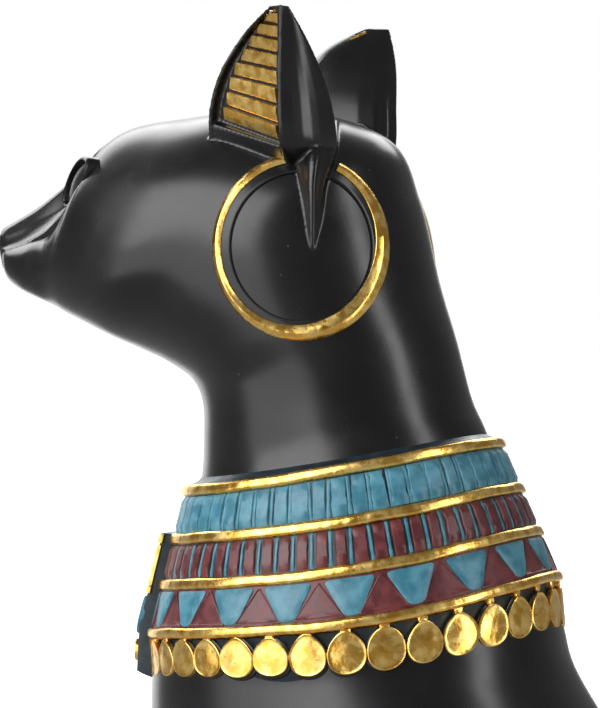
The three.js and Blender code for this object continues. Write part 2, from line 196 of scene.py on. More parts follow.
def collar_round(depth):
    """Mean radius of the collar at a share of its depth."""
    top = (COLLAR_TOP["half"] + COLLAR_TOP["reach"]) / 2
    foot = (COLLAR_FOOT["half"] + COLLAR_FOOT["reach"]) / 2
    return top + (foot - top) * min(depth, 1)


# Meshes are pairs of an array of points and a list of faces, with optional values for each point
def loft(rings):
    """Closed surface through rings of points, with a pole at each end."""
    rings = np.asarray(rings, float)
    rows, count = rings.shape[:2]
    points = np.vstack([rings[0].mean(0), rings.reshape(-1, 3), rings[-1].mean(0)])
    end = len(points) - 1
    faces = []
    for k in range(count):
        n = (k + 1) % count
        faces.append((0, 1 + n, 1 + k))
        faces.append((end, end - count + k, end - count + n))
    for r in range(rows - 1):
        low, high = 1 + r * count, 1 + (r + 1) * count
        faces.extend((low + k, low + (k + 1) % count, high + (k + 1) % count, high + k) for k in range(count))
    return points, faces


def hoop_loft(rings):
    """Closed surface through rings of points, the last ring joined to the first."""
    rings = np.asarray(rings, float)
    rows, count = rings.shape[:2]
    faces = []
    for r in range(rows):
        low, high = r * count, (r + 1) % rows * count
        faces.extend((low + k, low + (k + 1) % count, high + (k + 1) % count, high + k) for k in range(count))
    return rings.reshape(-1, 3), faces


def joined(parts):
    """One mesh of several, their points and faces in order."""
    points, faces, start = [], [], 0
    for part_points, part_faces in parts:
        points.append(part_points)
        faces.extend(tuple(start + corner for corner in face) for face in part_faces)
        start += len(part_points)
    return np.vstack(points), faces


def mirrored(part):
    points, faces = part
    return points * (-1, 1, 1), [face[::-1] for face in faces]


def boss(outline, steps, place):
    """Raised shape over an outline round the point 0, 0: steps are pairs of a share of the outline's
    size and a height, from the rim inwards; place maps x, y and height to points."""
    outline = np.asarray(outline, float)
    count = len(outline)
    rings = [place(outline[:, 0] * size, outline[:, 1] * size, np.full(count, height)) for size, height in steps]
    top = place(np.zeros(1), np.zeros(1), np.full(1, steps[-1][1]))
    points = np.vstack([*rings, top])
    faces = [tuple(range(count - 1, -1, -1))]
    for r in range(len(rings) - 1):
        low, high = r * count, (r + 1) * count
        faces.extend((low + k, low + (k + 1) % count, high + (k + 1) % count, high + k) for k in range(count))
    last = (len(rings) - 1) * count
    faces.extend((last + k, last + (k + 1) % count, len(points) - 1) for k in range(count))
    return points, faces


def slab(across, down, heights, place):
    """Raised tile over a grid: across and down are the grid's lines, heights the level at each
    crossing, with the border at the tile's foot; place maps across, down and height to points."""
    a, b = np.meshgrid(across, down, indexing="ij")
    points = place(a, b, heights).reshape(-1, 3)
    rows, count = a.shape
    faces = []
    for i in range(rows - 1):
        for j in range(count - 1):
            k = i * count + j
            faces.append((k, k + count, k + count + 1, k + 1))
    border = [(i, 0) for i in range(rows)] + [(rows - 1, j) for j in range(1, count)]
    border += [(i, count - 1) for i in range(rows - 2, -1, -1)] + [(0, j) for j in range(count - 2, 0, -1)]
    faces.append(tuple(i * count + j for i, j in border)[::-1])
    return points, faces


def mesh_object(name, part):
    points, faces = part
    mesh = bpy.data.meshes.new(name)
    mesh.from_pydata((np.asarray(points) * MM).tolist(), [], faces)
    built = bmesh.new()
    built.from_mesh(mesh)
    bmesh.ops.recalc_face_normals(built, faces=built.faces)
    built.to_mesh(mesh)
    built.free()
    thing = bpy.data.objects.new(name, mesh)
    bpy.context.scene.collection.objects.link(thing)
    return thing


def piece(name, part, material, crease=40.0):
    """Object of the bust: rides on the casting and wears the material it is given."""
    thing = mesh_object(name, part)
    mesh = thing.data
    mesh.materials.append(material)
    mesh.shade_smooth()
    mesh.set_sharp_from_angle(angle=math.radians(crease))
    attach(thing, BODY_NAME)
    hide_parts(NODE)
    return thing


def remeshed(part, voxel, rounds):
    """Outer skin of overlapping closed meshes as even quads, softened like a casting."""
    thing = mesh_object("skin", part)
    modifier = thing.modifiers.new("skin", "REMESH")
    modifier.mode = "VOXEL"
    modifier.voxel_size = voxel * MM
    skin = bpy.data.meshes.new_from_object(thing.evaluated_get(bpy.context.evaluated_depsgraph_get()))
    thing.modifiers.clear()
    points, edges = np.empty(len(skin.vertices) * 3), np.empty(len(skin.edges) * 2, int)
    skin.vertices.foreach_get("co", points)
    skin.edges.foreach_get("vertices", edges)
    points = smoothed(points.reshape(-1, 3), edges.reshape(-1, 2), rounds)
    skin.vertices.foreach_set("co", points.ravel())
    thing.data = skin
    modifier = thing.modifiers.new("fewer", "DECIMATE")
    modifier.ratio = min(1, HEAD_TRIANGLES / (2 * len(skin.polygons)))
    skin = bpy.data.meshes.new_from_object(thing.evaluated_get(bpy.context.evaluated_depsgraph_get()))
    points = np.empty(len(skin.vertices) * 3)
    skin.vertices.foreach_get("co", points)
    faces = [tuple(face.vertices) for face in skin.polygons]
    bpy.data.objects.remove(thing)
    return points.reshape(-1, 3) / MM, faces


def smoothed(points, edges, rounds, inward=0.5, outward=-0.52):
    """Moves each point towards the mean of its neighbours and back, which keeps the volume."""
    ends = np.concatenate([edges, edges[:, ::-1]])
    degree = np.bincount(ends[:, 0], minlength=len(points))[:, None]
    for _ in range(rounds):
        for share in (inward, outward):
            total = np.stack(
                [np.bincount(ends[:, 0], points[ends[:, 1], axis], len(points)) for axis in range(3)], axis=-1
            )
            points = points + share * (total / degree - points)
    return points


# Materials
class Paint:
    """A Principled material under construction, with object coordinates in millimetres."""

    def __init__(self, name, **sockets):
        self.material = bpy.data.materials.new(name)
        self.material.use_nodes = True
        self.nodes = self.material.node_tree.nodes
        self.shader = self.nodes["Principled BSDF"]
        for key, value in sockets.items():
            self.shader.inputs[key.replace("_", " ").title().replace("Ior", "IOR")].default_value = value
        coordinates = self.nodes.new("ShaderNodeTexCoord")
        self.place = self.node("ShaderNodeVectorMath", operation="SCALE", Vector=coordinates.outputs["Object"])
        self.place.inputs["Scale"].default_value = 1 / MM
        self.where = self.place.outputs[0]

    def node(self, kind, operation=None, **inputs):
        made = self.nodes.new(kind)
        if operation:
            made.operation = operation
        for key, value in inputs.items():
            self.set(made.inputs[key.replace("_", " ")], value)
        return made

    def set(self, socket, value):
        if isinstance(value, bpy.types.NodeSocket):
            self.material.node_tree.links.new(value, socket)
        else:
            socket.default_value = value

    def noise(self, scale, detail=3.0, where=None, roughness=0.5, distortion=0.0):
        made = self.node(
            "ShaderNodeTexNoise",
            Vector=self.where if where is None else where,
            Scale=scale,
            Detail=detail,
            Roughness=roughness,
            Distortion=distortion,
        )
        return made.outputs["Fac"]

    def stretched(self, x, y, z):
        made = self.node("ShaderNodeVectorMath", "MULTIPLY", Vector=self.where)
        made.inputs[1].default_value = (x, y, z)
        return made.outputs[0]

    def fade(self, value, low, high, start=0.0, end=1.0):
        """Maps low..high to start..end, clamped and smooth."""
        made = self.nodes.new("ShaderNodeMapRange")
        made.interpolation_type = "SMOOTHSTEP"
        for socket, number in zip(made.inputs[0:5], (value, low, high, start, end)):
            self.set(socket, number)
        return made.outputs[0]

    def mix(self, share, first, second):
        made = self.nodes.new("ShaderNodeMix")
        made.data_type = "RGBA"
        self.set(made.inputs[0], share)
        for socket, value in zip(made.inputs[6:8], (first, second)):
            self.set(socket, (*value, 1) if isinstance(value, tuple) else value)
        return made.outputs[2]

    def math(self, operation, first, second):
        made = self.nodes.new("ShaderNodeMath")
        made.operation = operation
        self.set(made.inputs[0], first)
        self.set(made.inputs[1], second)
        return made.outputs[0]

    def attribute(self, name):
        made = self.nodes.new("ShaderNodeAttribute")
        made.attribute_name = name
        return made.outputs["Fac"]

    def bump(self, height, strength, depth_mm):
        made = self.node("ShaderNodeBump", Height=height, Strength=strength, Distance=depth_mm * MM)
        self.set(self.shader.inputs["Normal"], made.outputs[0])
        return made

    def finish(self, color=None, roughness=None, metallic=None):
        if color is not None:
            self.set(self.shader.inputs["Base Color"], color)
        if roughness is not None:
            self.set(self.shader.inputs["Roughness"], roughness)
        if metallic is not None:
            self.set(self.shader.inputs["Metallic"], metallic)
        return self.material


def black_resin():
    paint = Paint("black resin", ior=1.5)
    cloud = paint.noise(0.12, 4)
    grain = paint.noise(1.6, 5)
    speck = paint.node("ShaderNodeTexVoronoi", Vector=paint.where, Scale=0.22, Randomness=1.0)
    dust = paint.fade(speck.outputs["Distance"], 0.045, 0.02)
    color = paint.mix(paint.fade(cloud, 0.35, 0.7), (0.0035, 0.0035, 0.004), (0.0065, 0.0065, 0.0075))
    color = paint.mix(paint.math("MULTIPLY", dust, 0.5), color, (0.1, 0.1, 0.1))
    paint.bump(grain, 0.05, 0.02)
    return paint.finish(color, paint.fade(paint.noise(0.3, 3), 0.3, 0.75, 0.24, 0.28))


def gold_paint():
    paint = Paint("gold paint")
    wave = paint.noise(0.45, 2)
    mottle = paint.noise(0.6, 5)
    streak = paint.noise(1.0, 6, paint.stretched(0.5, 0.5, 4.0), distortion=0.4)
    color = paint.mix(paint.fade(mottle, 0.35, 0.65), (0.78, 0.43, 0.075), (0.98, 0.68, 0.22))
    wash = paint.fade(paint.noise(1.1, 8, roughness=0.75), 0.64, 0.74)
    color = paint.mix(paint.math("MULTIPLY", wash, 0.5), color, (0.16, 0.09, 0.02))
    line = paint.fade(streak, 0.66, 0.72)
    color = paint.mix(paint.math("MULTIPLY", line, 0.5), color, (0.12, 0.07, 0.02))
    height = paint.math("ADD", wave, paint.math("MULTIPLY", streak, 0.12))
    paint.bump(height, 0.5, 0.25)
    return paint.finish(color, paint.fade(mottle, 0.3, 0.7, 0.2, 0.33), 1.0)


def collar_paint(name, deep, light, wash_color):
    paint = Paint(name, ior=1.5)
    cloud = paint.noise(0.5, 5)
    color = paint.mix(paint.fade(cloud, 0.35, 0.65), deep, light)
    stain = paint.fade(paint.noise(0.8, 8, roughness=0.75, distortion=0.8), 0.6, 0.7)
    color = paint.mix(paint.math("MULTIPLY", stain, 0.6), color, wash_color)
    scratch = paint.fade(paint.noise(1.4, 8, paint.stretched(1, 1, 5), roughness=0.8), 0.66, 0.72)
    color = paint.mix(paint.math("MULTIPLY", scratch, 0.5), color, wash_color)
    paint.bump(paint.noise(3.5, 6), 0.35, 0.1)
    return paint.finish(color, paint.fade(cloud, 0.3, 0.7, 0.3, 0.42))


BLACK = black_resin()
GOLD = gold_paint()
TURQUOISE = collar_paint("turquoise paint", (0.035, 0.165, 0.235), (0.08, 0.26, 0.34), (0.006, 0.015, 0.03))
MAROON = collar_paint("maroon paint", (0.085, 0.014, 0.017), (0.15, 0.028, 0.03), (0.02, 0.004, 0.01))
WASH = collar_paint("dark wash", (0.008, 0.016, 0.024), (0.014, 0.03, 0.04), (0.004, 0.004, 0.006))


# Head
def body_loft(first, last, rows, flats):
    at = np.linspace(STATION[first], STATION[last], rows)
    angle = np.linspace(0, TURN, flats, endpoint=False)
    return loft(body_points(at[:, None], angle[None, :]))


def muzzle_loft():
    """Nose ridge, the grooves beside it and the shelves out to the edges of the cheeks."""
    rows = np.linspace(0, len(MUZZLE_Y) - 1, 60)
    tables = np.array([MUZZLE_Y, NOSE_Z, NOSE_X, GROOVE_Z, GROOVE_X, CHEEK_Z, CHEEK_X]).T
    y, nose_z, nose_x, groove_z, groove_x, cheek_z, cheek_x = between(tables, rows).T
    below = cheek_z - 3.0
    half = [(0 * nose_x, nose_z)]
    for share in (0.35, 0.7, 1.0):
        half.append((nose_x * share, nose_z - 0.9 * share**2.2))
    half.append((groove_x * 0.93, groove_z + 0.35))
    half.append((groove_x, groove_z))
    for share in (0.2, 0.45, 0.7, 1.0):
        drop = (groove_z - cheek_z) * (1 - (1 - share) ** 1.8)
        half.append((groove_x + (cheek_x - groove_x) * share, groove_z - drop))
    half.append((cheek_x - 0.2, cheek_z - 0.9))
    half.append((cheek_x - 1.2, below))
    section = half + [(-x, z) for x, z in half[:0:-1]]
    rings = np.stack([np.stack([x, y, z], axis=-1) for x, z in section], axis=1)
    return loft(rings)


def ear_section(share):
    """Guide points of the ear at a share of its height."""
    at = share * (len(EAR_FRONT) - 1)
    return [between(guide, at) for guide in (EAR_FRONT, EAR_RIDGE, EAR_BACK, EAR_INNER)]


def facet_frame(share):
    """Front corner, span to the ridge and inward direction of the ear's front facet."""
    front, ridge, _, _ = ear_section(share)
    span = ridge - front
    into = np.stack([-span[..., 1], span[..., 0], 0 * span[..., 0]], axis=-1)
    return front, span, into / np.linalg.norm(into, axis=-1, keepdims=True)


def ear_loft():
    share = np.linspace(0, 1, 90)
    front, ridge, back, inner = ear_section(share)
    _, span, into = facet_frame(share)
    width = np.linalg.norm(span, axis=-1, keepdims=True)
    inside = np.clip((share - 0.2) / 0.02, 0, 1) * np.clip((0.96 - share) / 0.02, 0, 1)
    sunk = np.minimum(PLATES["sunk"], width * 0.22) * inside[:, None]
    rim = np.clip(0.75 / width, 0.05, 0.2)

    def facet(along, deep):
        return front + span * along + into * deep

    def arc(a, b, push, count):
        return [a + (b - a) * t + push * (4 * t * (1 - t)) for t in np.linspace(0, 1, count)[1:-1]]

    out_push = np.array([1, 1, 0]) * 0.07 * np.linalg.norm(ridge - back, axis=-1, keepdims=True)
    in_push = 0.16 * np.linalg.norm(front - inner, axis=-1, keepdims=True)
    section = [front, facet(rim, -0.02 * width), facet(rim + 0.02, sunk)]
    section += [facet(rim + (1 - 2 * rim) * t, sunk) for t in (0.25, 0.5, 0.75)]
    section += [facet(1 - rim - 0.02, sunk), facet(1 - rim, -0.02 * width), ridge]
    section += arc(ridge, back, out_push, 7) + [back]
    section += arc(back, inner, np.array([-0.5, 1, 0]) * in_push, 5) + [inner]
    section += arc(inner, front, np.array([-1, -0.6, 0]) * in_push, 6)
    return loft(np.stack(section, axis=1))


def stalk_loft():
    right, back = (np.array(axis) for axis in camera_axes())
    at = np.linspace(0, len(STALK) - 1, 30)
    rings = []
    for z, across, half, out in between(STALK, at):
        root = cast(right * across + back * 20 + (0, 0, z), -back)
        turn = np.linspace(0, TURN, 36, endpoint=False)
        fluted = 1 + 0.07 * np.cos(5 * turn)
        rise = (out + 1.5) * np.cos(turn) * fluted - 1.5
        rings.append(root + right * (half * np.sin(turn) * fluted)[:, None] + back * rise[:, None])
    return loft(rings)


def surface_of(part):
    points, faces = part
    return BVHTree.FromPolygons([Vector(point) for point in points], faces)


head_body = body_loft("hidden", "lip", 240, 160)
bare_head = surface_of(head_body)


def cast(through, inwards):
    """Where a line through a point, seen from outside, meets the bare head."""
    start = Vector(through) - Vector(inwards) * 100
    hit = bare_head.ray_cast(start, Vector(inwards))[0]
    return np.array(hit if hit else through)


def eye_frame():
    """Centre, long axis, upward axis and facing of the left eye, the axes at their half lengths."""
    outer, inner = np.array(EYE["outer"]), np.array(EYE["inner"])
    long = (outer - inner) / 2
    facing = np.array(EYE["facing"])
    facing -= long * facing.dot(long) / long.dot(long)
    facing /= np.linalg.norm(facing)
    up = np.cross(facing, long)
    up *= EYE["high"] / 2 / np.linalg.norm(up)
    up *= np.sign(up[2])
    return (outer + inner) / 2, long, up, facing


def almond(turn):
    """Outline of the eye at half length and height 1, pointed at both ends."""
    return np.cos(turn), np.sin(turn) * np.abs(np.sin(turn)) ** 0.25


def sink_sockets(points):
    """Presses the head in under the eyes, so that the rims stand round them."""
    centre, long, up, facing = eye_frame()
    for side in (1, -1):
        local = points * (side, 1, 1) - centre
        x = local @ long / long.dot(long)
        y = local @ up / up.dot(up)
        level = local @ facing
        inside = (x**2 + np.abs(y) ** 1.6 < 1.0) & (np.abs(level) < 3.5) & (level > -0.6)
        points[inside] += (-0.6 - level[inside])[:, None] * facing * (side, 1, 1)
    return points


def head_piece():
    parts = [head_body, muzzle_loft()]
    for part in (ear_loft(), stalk_loft()):
        parts += [part, mirrored(part)]
    points, faces = remeshed(joined(parts), HEAD_VOXEL, 8)
    return piece("head", (sink_sockets(points), faces), BLACK, 180)


def eye_pieces():
    centre, long, up, facing = eye_frame()
    turn = np.linspace(0, TURN, 72, endpoint=False)
    x, y = almond(turn)
    rings = []
    for size, level in ((0.86, -1.5), (0.88, 0.1), (0.92, 0.42), (0.98, 0.5), (1.03, 0.35), (1.06, -0.1), (1.06, -1.5)):
        rings.append(centre + np.outer(x * size, long) + np.outer(y * size, up) + facing * level)
    rim = hoop_loft(np.stack(rings))
    rings = []
    for size in (1.0, 0.97, 0.9, 0.78, 0.6, 0.4, 0.2, 0.05):
        level = 0.75 * (1 - size**2) - 0.35
        rings.append(centre + np.outer(x * size, long) * 0.9 + np.outer(y * size, up) * 0.9 + facing * level)
    foot = rings[0] - facing * 1.5
    ball = loft(np.stack([foot, *rings]))
    eye = joined([rim, ball])
    piece("eye_left", eye, BLACK, 40)
    piece("eye_right", mirrored(eye), BLACK, 40)


def shoulders_piece():
    return piece("shoulders", body_loft("cut", "hidden", 60, 160), BLACK, 60)


# Hoops
def hoop_rings(turns, profile):
    """Sections laid on the side of the head; profile gives, for a turn, pairs of inset and level."""
    yaw = math.radians(HOOP["facing"])
    out = np.array([math.cos(yaw), math.sin(yaw), 0])
    back = np.array([-out[1], out[0], 0])
    rings = []
    for turn in turns:
        ring = []
        for inset, level in profile(turn):
            size = 1 - inset / HOOP["up"]
            spot = np.array(HOOP["centre"], float) + back * math.sin(turn) * HOOP["across"] * size
            spot[2] += math.cos(turn) * HOOP["up"] * size
            ring.append(cast(spot, -out) + out * level)
        rings.append(ring)
    return np.array(rings)


def hoop_width(turn):
    swell = (1 + math.cos(turn - math.radians(HOOP_WIDTH["thickest"]))) / 2
    return HOOP_WIDTH["thin"] + (HOOP_WIDTH["thick"] - HOOP_WIDTH["thin"]) * swell**2.5


def gold_profile(turn):
    width = hoop_width(turn)
    crest = width * HOOP_WIDTH["crest"]
    return (
        (-0.05, -0.5), (-0.05, 0.25), (0.12, 0.5), (crest - 0.1, 0.98), (crest + 0.1, 1.0),
        (width - 0.1, 0.5), (width, 0.38), (width, -0.5),
    )


def ledge_profile(turn):
    return ((0.3, -1.2), (0.3, 0.2), (2.3, 0.3), (2.72, 0.3), (2.86, 0.22), (2.95, -0.1), (2.95, -1.2))


def hoop_pieces():
    turns = np.radians(np.linspace(HOOP_GOLD["from"], HOOP_GOLD["to"], 180))
    gold = loft(hoop_rings(turns, gold_profile))
    ledge = hoop_loft(hoop_rings(np.linspace(0, TURN, 180, endpoint=False), ledge_profile))
    for side, way in (("left", lambda part: part), ("right", mirrored)):
        piece(f"hoop_{side}", way(gold), GOLD, 30)
        piece(f"hoop_ledge_{side}", way(ledge), BLACK, 35)


# Gold plates of the ears
def plate_part(index):
    count = PLATES["count"]
    pitch = (PLATES["to"] - PLATES["from"]) / count
    low = PLATES["from"] + pitch * index
    high = low + pitch * 0.93
    left, right = 0.13 + 0.02 * RANDOM.random(), 0.90 - 0.02 * RANDOM.random()
    across = np.array([0, 0.03, 0.06, 0.3, 0.5, 0.7, 0.94, 0.97, 1.0])
    up = np.array([0, 0.05, 0.15, 0.5, 0.8, 0.9, 0.97, 1.0])
    rise = np.interp(up, (0, 0.05, 0.15, 0.8, 0.93, 1.0), (-0.5, 0.1, 0.2, 0.55, 0.6, -0.5))
    edge = np.interp(across, (0, 0.03, 0.06, 0.94, 0.97, 1.0), (-0.5, 0.05, 0.1, 0.1, 0.05, -0.5))
    heights = np.minimum(edge[:, None] + 0.5, rise[None, :])
    heights[(0, -1), :] = -0.5

    def place(a, b, level):
        share = low + (high - low) * b
        front, span, into = facet_frame(share)
        width = np.linalg.norm(span, axis=-1)
        sunk = np.minimum(PLATES["sunk"], width * 0.22) - level * np.clip(width / 6, 0.25, 1)
        return front + span * (left + (right - left) * a)[..., None] + into * sunk[..., None]

    return slab(across, up, heights, place)


def plate_pieces():
    plates = joined([plate_part(index) for index in range(PLATES["count"])])
    piece("ear_plates_left", plates, GOLD, 30)
    piece("ear_plates_right", mirrored(plates), GOLD, 30)


# Collar
def ripple(angle, size, seed):
    """Slow waver round the collar, as from a hand-made mould."""
    phases = np.random.default_rng(seed).uniform(0, TURN, 4)
    return size * sum(np.sin(count * angle + phase) for count, phase in zip((3, 7, 11, 17), phases)) / 3


def collar_ring(rows, rounds, flats=240):
    """Ring on the collar: rows are triples of depth, millimetres down from it and height."""
    angle = np.linspace(0, TURN, flats, endpoint=False)
    rings = []
    for depth, down, proud in rows:
        shift = ripple(angle, rounds, int(1000 * abs(depth)) + 5)
        rings.append(collar_points(depth + (down + shift) / COLLAR_DOWN, angle, proud))
    return hoop_loft(np.stack(rings, axis=1))


def band_part(depth):
    half = BAND["high"] / 2
    proud = BAND["proud"]
    profile = (
        (-half, -0.8), (-half, proud * 0.45), (-half * 0.72, proud * 0.9), (-half * 0.35, proud),
        (half * 0.35, proud), (half * 0.72, proud * 0.92), (half, proud * 0.5), (half, -0.8),
    )
    return collar_ring([(depth, down, level) for down, level in profile], 0.09)


def ground_part():
    """Dark ground under the tiles, with the flare of the neck above and the discs' ground below."""
    rows = [(-0.2, 0, -2.4), (-0.14, 0, -2.0), (-0.09, 0, -1.45), (-0.06, 0, -0.8), (-0.045, 0, -0.2), (0, 0, 0.05)]
    rows += [(depth, 0, 0.0) for depth in np.linspace(0.04, 1.0, 14)]
    rows += [(1.03, 0, -0.5), (1.34, 0, -0.55), (1.36, 0, -1.2), (1.37, 0, -5.0), (0.5, 0, -5.0), (-0.2, 0, -5.0)]
    return collar_ring(rows, 0.0)


def tile_part(angle, width, row, proud, lean=0.0):
    """Tile between two bands: angle of its middle, its width, and the row's upper band."""
    top = BANDS[row] + 0.5 * BAND["high"] / COLLAR_DOWN
    foot = BANDS[row + 1] - 0.5 * BAND["high"] / COLLAR_DOWN
    radius = collar_round((top + foot) / 2)
    bevel = min(0.16, width / 4)
    across = np.array([-width / 2, -width / 2 + bevel * 0.5, -width / 2 + bevel])
    across = np.concatenate([across, [0], -across[::-1]])
    down = np.linspace(0, 1, 7)
    level = np.array([-0.15, 0.75, 1.0, 1.0, 1.0, 0.75, -0.15])
    heights = np.repeat((level * proud)[:, None], len(down), axis=1)
    swell = 1 + 0.06 * RANDOM.standard_normal(len(down))

    def place(a, b, h):
        turn = angle + (a * swell[None, :] + lean * (b - 0.5)) / radius * (collar_round(0.5) / radius)
        return collar_points(top + (foot - top) * b, turn, h)

    heights[:, 0] = heights[:, -1] = -0.15 * proud
    return slab(across, down, heights, place)


def tile_row(row, count, wide, narrow):
    """Wide and narrow tiles by turns, a wide one in the middle of the front."""
    wide_parts, narrow_parts = [], []
    for k in range(count):
        jitter = 0.08 * RANDOM.standard_normal(3)
        angle = k / count * TURN
        radius = collar_round((BANDS[row] + BANDS[row + 1]) / 2)
        wide_parts.append(tile_part(angle + jitter[0] / radius, wide * (1 + jitter[1]), row, 0.38, jitter[2]))
        angle += 0.5 * TURN / count
        narrow_parts.append(tile_part(angle + jitter[2] / radius, narrow, row, 0.26, 2 * jitter[1]))
    return joined(wide_parts), joined(narrow_parts)


def collar_place(angle, depth):
    """Maps millimetres right and up from a place on the collar, and height, to points."""
    radius = collar_round(depth)
    return lambda x, y, h: collar_points(depth - y / COLLAR_DOWN, angle + x / radius, h)


def rounded(corners, radius, steps=4):
    """Outline of a polygon, its corners rounded."""
    corners = np.asarray(corners, float)
    outline = []
    for k, corner in enumerate(corners):
        before, after = corners[k - 1] - corner, corners[(k + 1) % len(corners)] - corner
        before /= np.linalg.norm(before)
        after /= np.linalg.norm(after)
        for t in np.linspace(0, 1, steps):
            a, b = corner + before * radius * (1 - t), corner + after * radius * t
            outline.append(a * (1 - t) + b * t)
    return np.array(outline)


def triangle_row():
    """Upright dark red triangles and, between them, hanging turquoise shapes with round corners."""
    top = BANDS[2] + 0.5 * BAND["high"] / COLLAR_DOWN
    foot = BANDS[3] - 0.5 * BAND["high"] / COLLAR_DOWN
    tall = (foot - top) * COLLAR_DOWN
    middle = (top + foot) / 2
    pitch = TURN * collar_round(middle) / TRIANGLES
    red, blue = [], []
    for k in range(TRIANGLES):
        angle = (k + 0.5) / TRIANGLES * TURN
        wave = 0.05 * RANDOM.standard_normal(4)
        corners = [(-0.41 * pitch, -0.48 * tall), (0.41 * pitch, -0.48 * tall), (wave[0], 0.47 * tall)]
        steps = [(1.0, -0.1), (0.98, 0.3), (0.9, 0.34), (0.84, 0.2), (0.5, 0.2)]
        red.append(boss(rounded(corners, 0.25, 3), steps, collar_place(angle, middle)))
        angle = k / TRIANGLES * TURN + wave[1] / 20
        corners = [(-0.13 * pitch, -0.47 * tall), (0.13 * pitch, -0.47 * tall), (0.43 * pitch, 0.47 * tall)]
        corners.append((-0.43 * pitch, 0.47 * tall))
        steps = [(1.0, -0.1), (0.97, 0.26), (0.9, 0.36), (0.5, 0.4)]
        blue.append(boss(rounded(corners, 0.9, 6), steps, collar_place(angle, middle)))
    return joined(red), joined(blue)


def disc_outline(width, height, point, flat):
    """Disc that comes to a soft point above and is nearly flat below."""
    turn = np.linspace(0, TURN, 36, endpoint=False)
    x, y = np.sin(turn), np.cos(turn)
    upper, lower = np.clip(y, 0, 1), np.clip(-y, 0, 1)
    x = x * (1 - point * upper**2 + 0.1 * lower)
    y = y + point * 0.12 * upper**4 + flat * lower**2
    return np.stack([x * width / 2, y * height / 2], axis=-1)


def disc_row():
    gold, backing = [], []
    for k in range(DISCS):
        angle = k / DISCS * TURN
        middle = 1.185 + 0.045 * max(0, -math.cos(angle))
        wave = np.clip(RANDOM.standard_normal(5), -1.8, 1.8)
        outline = disc_outline(5.5 * (1 + 0.03 * wave[0]), 6.0 * (1 + 0.03 * wave[1]), 0.22 + 0.09 * wave[2], 0.1)
        turned = math.radians(4 * wave[3])
        outline = outline @ np.array(((math.cos(turned), math.sin(turned)), (-math.sin(turned), math.cos(turned))))
        steps = [(1.0, -0.9), (1.0, 0.25), (0.985, 0.45), (0.95, 0.5), (0.9, 0.44), (0.8, 0.42), (0.5, 0.5), (0.2, 0.53)]
        place = collar_place(angle, middle)
        gold.append(boss(outline, steps, place))
        backing.append(boss(outline * (1.1, 1.09), [(1.0, -0.9), (0.99, -0.25), (0.9, -0.15)], place))
        link = disc_outline(1.1, 1.0, 0.0, 0.0)
        gold.append(boss(link, [(1.0, -0.9), (0.95, 0.0), (0.7, 0.15)], collar_place(angle + TURN / DISCS / 2, middle)))
        stub = disc_outline(1.5, 1.6, 0.0, 0.0)
        gold.append(boss(stub, [(1.0, -0.9), (0.95, 0.1), (0.7, 0.25)], collar_place(angle, 1.045)))
    return joined(gold), joined(backing)


def plaque_place(x, y, h):
    """Maps millimetres right and down the plaque, and height over its face, to points."""
    depth = PLAQUE["from"] + y / COLLAR_DOWN
    half = COLLAR_TOP["half"] + (COLLAR_FOOT["half"] - COLLAR_TOP["half"]) * np.minimum(depth, 1.2)
    proud = PLAQUE["proud"] + PLAQUE["flare"] * np.clip(depth - 1, 0, None) + h
    return collar_points(depth, np.arcsin(x / half), proud)


def plaque_box(x, y, wide, high, proud, bevel=0.15, root=-0.3, count=7):
    """Bar or tile on the plaque, its upper edge at y."""
    across = np.concatenate([[-wide / 2, -wide / 2 + bevel / 2], np.linspace(-wide / 2 + bevel, wide / 2 - bevel, count),
                             [wide / 2 - bevel / 2, wide / 2]])
    down = np.concatenate([[0, bevel / 2], np.linspace(bevel, high - bevel, 4), [high - bevel / 2, high]])
    level_x = np.interp(np.minimum(across + wide / 2, wide / 2 - across), (0, bevel / 2, bevel), (0, 0.75, 1))
    level_y = np.interp(np.minimum(down, high - down), (0, bevel / 2, bevel), (0, 0.75, 1))
    heights = root + (proud - root) * np.minimum(level_x[:, None], level_y[None, :])
    return slab(across, down, heights, lambda a, b, h: plaque_place(x + a, y + b, h))


